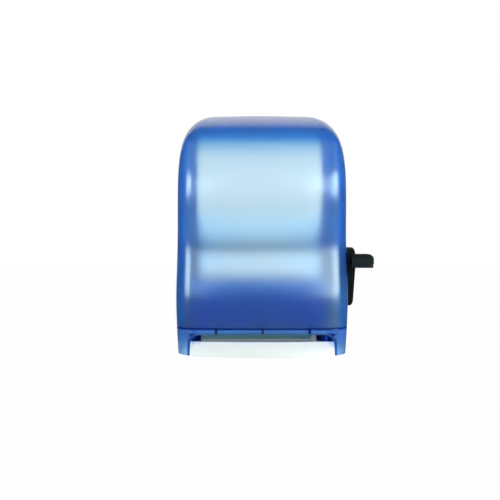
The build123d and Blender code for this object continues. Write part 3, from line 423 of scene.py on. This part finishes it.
def chassis_plastic(name):
    """Dark moulded plastic with painted light that makes it paler with height, where light falls in
    over the guard.
    """
    material, tree, shader = new_material(name)
    height = aside_and_height(tree)[1]
    clouds = (grain(tree, MOULD_CLOUD_SIZE), CHASSIS_CLOUD)
    # Painted light: paler higher up, where light falls in over the guard
    painted_light = (smooth_step(tree, height, CHASSIS_SPAN), CHASSIS_PAINTED_LIGHT)
    overlay(tree, shader, CHASSIS_DARK, [clouds, painted_light])
    moulded_skin(tree, shader, CHASSIS_ROUGH, CHASSIS_DEPTH, CHASSIS_IOR)
    return material


def rubber(name, dark, light, line_stretch):
    """Matt rubber, ground in lines."""
    material, tree, shader = new_material(name)
    lines = grain(tree, RUBBER_LINE_SIZE, RUBBER_DETAIL, line_stretch)
    shades(tree, shader, lines, dark, light)
    gloss(tree, shader, grain(tree, RUBBER_PATCH_SIZE), *RUBBER_ROUGH)
    shader.inputs["IOR"].default_value = RUBBER_IOR
    relief(tree, shader, lines, RUBBER_DEPTH)
    return material


def metal(name, dark, light, rough, line_stretch):
    """Drawn or brushed metal."""
    material, tree, shader = new_material(name)
    lines = grain(tree, METAL_LINE_SIZE, METAL_DETAIL, line_stretch)
    shades(tree, shader, lines, dark, light)
    gloss(tree, shader, lines, rough - METAL_SWING, rough + METAL_SWING)
    relief(tree, shader, lines, METAL_DEPTH)
    shader.inputs["Metallic"].default_value = 1.0
    return material


def towel_paper(name):
    """Soft white paper with a pressed cell pattern."""
    material, tree, shader = new_material(name)
    shades(tree, shader, grain(tree, PAPER_CLOUD_SIZE), PAPER_DARK, PAPER_LIGHT)
    place = tree.nodes.new("ShaderNodeTexCoord")
    cells = tree.nodes.new("ShaderNodeTexVoronoi")
    cells.inputs["Scale"].default_value = 1.0 / PAPER_CELL_SIZE
    tree.links.new(place.outputs["Object"], cells.inputs["Vector"])
    relief(tree, shader, cells.outputs["Distance"], PAPER_CELL_DEPTH, PAPER_CELL_STRENGTH)
    shader.inputs["Roughness"].default_value = PAPER_ROUGH
    shader.inputs["Sheen Weight"].default_value = PAPER_SHEEN
    return material


def cardboard(name):
    """Brown tube board with long fibres."""
    material, tree, shader = new_material(name)
    fibres = grain(tree, BOARD_FIBRE_SIZE, BOARD_FIBRE_DETAIL, BOARD_FIBRE_STRETCH)
    shades(tree, shader, fibres, BOARD_DARK, BOARD_LIGHT)
    relief(tree, shader, fibres, BOARD_DEPTH)
    shader.inputs["Roughness"].default_value = BOARD_ROUGH
    return material


def make_finishes():
    """A material for each slot of the record."""
    made = {
        "cover_blue": translucent_plastic(
            "cover_blue", COVER_PALE, cover_layers, COVER_ROUGH, COVER_CLEAR_SHARE
        ),
        "frame_blue": translucent_plastic(
            "frame_blue", POST_BLUE, frame_layers, FRAME_ROUGH, FRAME_CLEAR_SHARE
        ),
        "chassis_dark": chassis_plastic("chassis_dark"),
        "paper": towel_paper("paper"),
        "cardboard": cardboard("cardboard"),
    }
    for maker, looks in ((moulded_plastic, MOULDINGS), (rubber, RUBBERS), (metal, METALS)):
        for slot, look in looks.items():
            made[slot] = maker(slot, *look)
    return made


finishes = make_finishes()


def finish_nodes():
    """Gives each CAD node the finish of its slot."""
    for part in frame["record"]["subparts"]:
        mesh = nodes[part["node"]].data
        mesh.materials.clear()
        mesh.materials.append(finishes[part["material_slot"]])


def add_piece(name, mesh_source, slot, body, replaced):
    """Links a new piece that stands for a CAD node."""
    mesh = bpy.data.meshes.new(name)
    mesh_source.to_mesh(mesh)
    mesh_source.free()
    mesh.materials.append(finishes[slot])
    piece = bpy.data.objects.new(name, mesh)
    bpy.context.scene.collection.objects.link(piece)
    for face in mesh.polygons:
        face.use_smooth = True
    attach(piece, body)
    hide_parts(replaced)
    return piece


def roll_profile(low, high, inner, outer, draw):
    """Points (x, radius) up the uneven left end, along the outside and down the right end."""
    rings = max(LEAST_RINGS, round((outer - inner) / RING_STEP))
    radii = [inner + (outer - inner) * i / rings for i in range(rings + 1)]
    left_end = [(low.x + draw.uniform(0, RING_UNEVEN), r) for r in radii]
    right_end = [(high.x - draw.uniform(0, RING_UNEVEN), r) for r in reversed(radii)]
    bands = [(low.x + (high.x - low.x) * i / ROLL_BANDS, outer) for i in range(1, ROLL_BANDS)]
    return left_end + bands + right_end


def roll_swell(turn, x, waves):
    """The sum of slow waves round and along a soft roll."""
    total = 0.0
    for k, (a, b) in enumerate(waves):
        total += math.sin((k + 2) * turn + a + WAVE_SLANT * (k + 1) * x + b)
    return total


def wound_roll(name, node, core_node, body, tail_angle, seed):
    """A paper roll: a soft outside with a tail step, and layered ends."""
    draw = random.Random(seed)
    low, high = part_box(node)
    core_low, core_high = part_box(core_node)
    centre = (low + high) / 2
    outer = (high.z - low.z) / 2
    inner = (core_high.z - core_low.z) / 2 + SOFT_UNEVEN
    profile = roll_profile(low, high, inner, outer, draw)
    waves = [(draw.uniform(0, math.tau), draw.uniform(0, math.tau)) for _ in range(ROLL_WAVES)]
    roll = bmesh.new()
    columns = []
    for step in range(ROLL_STEPS):
        turn = math.tau * step / ROLL_STEPS
        angle = turn + tail_angle
        column = []
        for x, radius in profile:
            share = (radius - inner) / (outer - inner)
            uneven = SOFT_UNEVEN * (0.5 - roll_swell(turn, x, waves) / (2 * ROLL_WAVES))
            reach = radius - share * (uneven + PAPER_LAYER * step / ROLL_STEPS)
            y = centre.y + reach * math.cos(angle)
            z = centre.z + reach * math.sin(angle)
            column.append(roll.verts.new((x, y, z)))
        columns.append(column)
    for step, column in enumerate(columns):
        following = columns[(step + 1) % ROLL_STEPS]
        for i in range(len(profile) - 1):
            roll.faces.new((column[i], column[i + 1], following[i + 1], following[i]))
        roll.faces.new((column[-1], column[0], following[0], following[-1]))
    bmesh.ops.recalc_face_normals(roll, faces=roll.faces)
    return add_piece(name, roll, "paper", body, node)


def web_route():
    """The web's line from the old roll down past the rollers, as (y, z) points, from the frame."""
    low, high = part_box("paper_web")
    stub_low, stub_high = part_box("stub_roll")
    feed_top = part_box("feed_roller")[1].z
    stub = (stub_low + stub_high) / 2
    run_y = high.y - WEB_INSET
    bend_z = feed_top + WEB_BEND_RISE
    reach = (stub_high.z - stub_low.z) / 2 + WEB_ROLL_GAP
    across = run_y - stub.y
    down = bend_z - stub.z
    angle = math.atan2(down, across) + math.acos(reach / math.hypot(across, down))
    start = (stub.y + reach * math.cos(angle), stub.z + reach * math.sin(angle))
    return [start, (run_y, bend_z), (run_y, low.z)]


def hanging_web():
    """The paper web with a torn edge at its free end."""
    low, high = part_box("paper_web")
    route = web_route()
    lengths = [math.dist(a, b) for a, b in zip(route, route[1:])]
    total = sum(lengths)
    web = bmesh.new()
    rows = []
    for row in range(WEB_ROWS + 1):
        along = total * row / WEB_ROWS
        first = along <= lengths[0]
        a, b = (route[0], route[1]) if first else (route[1], route[2])
        share = along / lengths[0] if first else (along - lengths[0]) / lengths[1]
        y = a[0] + (b[0] - a[0]) * share
        z = a[1] + (b[1] - a[1]) * share
        loose = max(0.0, 1.0 - (1.0 - along / total) / WEB_LOOSE_SHARE)
        torn = TEAR_DEPTH if row == WEB_ROWS else 0.0
        line = []
        for column in range(WEB_COLUMNS + 1):
            across = column / WEB_COLUMNS
            x = low.x + (high.x - low.x) * across
            wave = RIPPLE_ACROSS * x / (high.x - low.x) + RIPPLE_ALONG * along / total
            ripple = WEB_RIPPLE * loose * math.sin(wave)
            tooth = torn * abs(2 * TEAR_TEETH * column / WEB_COLUMNS % 2 - 1)
            line.append(web.verts.new((x, y + ripple, z + tooth)))
        rows.append(line)
    for upper, lower in zip(rows, rows[1:]):
        for i in range(WEB_COLUMNS):
            web.faces.new((upper[i], upper[i + 1], lower[i + 1], lower[i]))
    piece = add_piece("paper_web_sheet", web, "paper", "chassis", "paper_web")
    return piece


def squeezed_spring(node, body):
    """A copy of coil springs in a mesh of its own, carried by the body in place of the CAD node."""
    source = nodes[node]
    coils = bmesh.new()
    coils.from_mesh(source.data)
    coils.transform(source.matrix_world)
    piece = add_piece(f"{node}_coils", coils, "spring_steel", body, node)
    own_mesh(piece)


def seen_rays(tree):
    """1 on rays that show the background: from the camera, mirrored or seen through the cover."""
    path = tree.nodes.new("ShaderNodeLightPath")
    straight = sum_of(tree, "MAXIMUM", path.outputs["Is Camera Ray"], path.outputs["Is Glossy Ray"])
    return sum_of(tree, "MAXIMUM", straight, path.outputs["Is Transmission Ray"])


def studio_floor():
    """A pale floor below the part that stays white to the camera and keeps a soft shadow."""
    level = cad_box[0].z - FLOOR_DROP
    mesh = bpy.data.meshes.new("studio_floor")
    corners = [(-1, -1), (1, -1), (1, 1), (-1, 1)]
    mesh.from_pydata([(x * FLOOR_HALF, y * FLOOR_HALF, level) for x, y in corners], [], [(0, 1, 2, 3)])
    floor = bpy.data.objects.new("studio_floor", mesh)
    bpy.context.scene.collection.objects.link(floor)
    material, tree, shader = new_material("studio_floor")
    shades(tree, shader, grain(tree, FLOOR_CLOUD_SIZE), FLOOR_DARK, FLOOR_LIGHT)
    shader.inputs["Roughness"].default_value = FLOOR_ROUGH
    glow = tree.nodes.new("ShaderNodeEmission")
    mix = tree.nodes.new("ShaderNodeMixShader")
    tree.links.new(sum_of(tree, "MULTIPLY", seen_rays(tree), FLOOR_GLOW), mix.inputs["Fac"])
    tree.links.new(shader.outputs["BSDF"], mix.inputs[1])
    tree.links.new(glow.outputs["Emission"], mix.inputs[2])
    tree.links.new(mix.outputs["Shader"], tree.nodes["Material Output"].inputs["Surface"])
    mesh.materials.append(material)


def studio_world():
    """White to the camera, and a soft even light on the part."""
    world = bpy.data.worlds.new("studio_world")
    bpy.context.scene.world = world
    world.use_nodes = True
    tree = world.node_tree
    light = tree.nodes["Background"]
    light.inputs["Color"].default_value = WORLD_COLOUR
    light.inputs["Strength"].default_value = WORLD_LIGHT
    white = tree.nodes.new("ShaderNodeBackground")
    white.inputs["Color"].default_value = WHITE
    mix = tree.nodes.new("ShaderNodeMixShader")
    tree.links.new(seen_rays(tree), mix.inputs["Fac"])
    tree.links.new(light.outputs["Background"], mix.inputs[1])
    tree.links.new(white.outputs["Background"], mix.inputs[2])
    tree.links.new(mix.outputs["Shader"], tree.nodes["World Output"].inputs["Surface"])


def reflection_flag():
    """A dark bowl before the part, open at the back, which only the mirrored light meets."""
    mesh = bpy.data.meshes.new("reflection_flag")
    lowest = cad_box[0].z - FLOOR_DROP + FLAG_LIFT
    places = []
    panels = []
    for spoke in range(FLAG_SPOKES):
        roll = math.tau * spoke / FLAG_SPOKES
        rise = max(0.0, math.sin(roll)) ** 2
        arc = math.radians(FLAG_SIDE_ARC + (FLAG_TOP_ARC - FLAG_SIDE_ARC) * rise)
        following = (spoke + 1) % FLAG_SPOKES
        for ring in range(FLAG_RINGS + 1):
            turn = arc * ring / FLAG_RINGS
            out = FLAG_RADIUS * math.sin(turn)
            height = max(lowest, out * math.sin(roll))
            places.append((out * math.cos(roll), -FLAG_RADIUS * math.cos(turn), height))
        for ring in range(FLAG_RINGS):
            here = spoke * (FLAG_RINGS + 1) + ring
            there = following * (FLAG_RINGS + 1) + ring
            panels.append((here, here + 1, there + 1, there))
    mesh.from_pydata(places, [], panels)
    flag = bpy.data.objects.new("reflection_flag", mesh)
    bpy.context.scene.collection.objects.link(flag)
    material, _, shader = new_material("reflection_flag")
    shader.inputs["Base Color"].default_value = FLAG_GREY
    shader.inputs["Roughness"].default_value = FLAG_ROUGH
    mesh.materials.append(material)
    flag.visible_camera = False
    flag.visible_diffuse = False
    flag.visible_transmission = False
    flag.visible_shadow = False


def lamp(name, place, size, power):
    """A rectangular lamp turned to the part."""
    data = bpy.data.lights.new(name, "AREA")
    data.shape = "RECTANGLE"
    data.size, data.size_y = size
    data.energy = power
    light = bpy.data.objects.new(name, data)
    light.location = place
    aim = Vector(LIGHT_TARGET) - Vector(place)
    light.rotation_euler = aim.to_track_quat("-Z", "Y").to_euler()
    bpy.context.scene.collection.objects.link(light)
    return light


def studio_lamps():
    """Softboxes that light the part, and panels of a set brightness that it only mirrors."""
    for name, (place, size, power) in SOFTBOXES.items():
        light = lamp(name, place, size, power)
        light.visible_glossy = False
    for name, (place, size, brightness) in GLINTS.items():
        light = lamp(name, place, size, brightness * math.pi * size[0] * size[1])
        light.data.color = GLINT_COLOUR
        light.visible_diffuse = False
        light.visible_transmission = False


def photo_camera():
    """The photograph's viewpoint."""
    data = bpy.data.cameras.new("photo_camera")
    data.sensor_width = SENSOR_WIDTH
    data.lens = SENSOR_WIDTH * FOCAL_PIXELS / IMAGE_SIZE
    camera = bpy.data.objects.new("photo_camera", data)
    camera.location = CAMERA_PLACE
    camera.rotation_euler = (math.pi / 2, 0.0, 0.0)
    bpy.context.scene.collection.objects.link(camera)
    bpy.context.scene.camera = camera


finish_nodes()
wound_roll("towel_roll_paper", "towel_roll", "roll_core", "full_roll", FULL_TAIL_ANGLE, FULL_SEED)
wound_roll("stub_roll_paper", "stub_roll", "stub_core", "old_roll", STUB_TAIL_ANGLE, STUB_SEED)
hanging_web()
squeezed_spring("latch_spring", "cover")
squeezed_spring("pinch_springs", "chassis")
studio_floor()
studio_world()
reflection_flag()
studio_lamps()
photo_camera()
bpy.context.scene.view_settings.view_transform = "Standard"
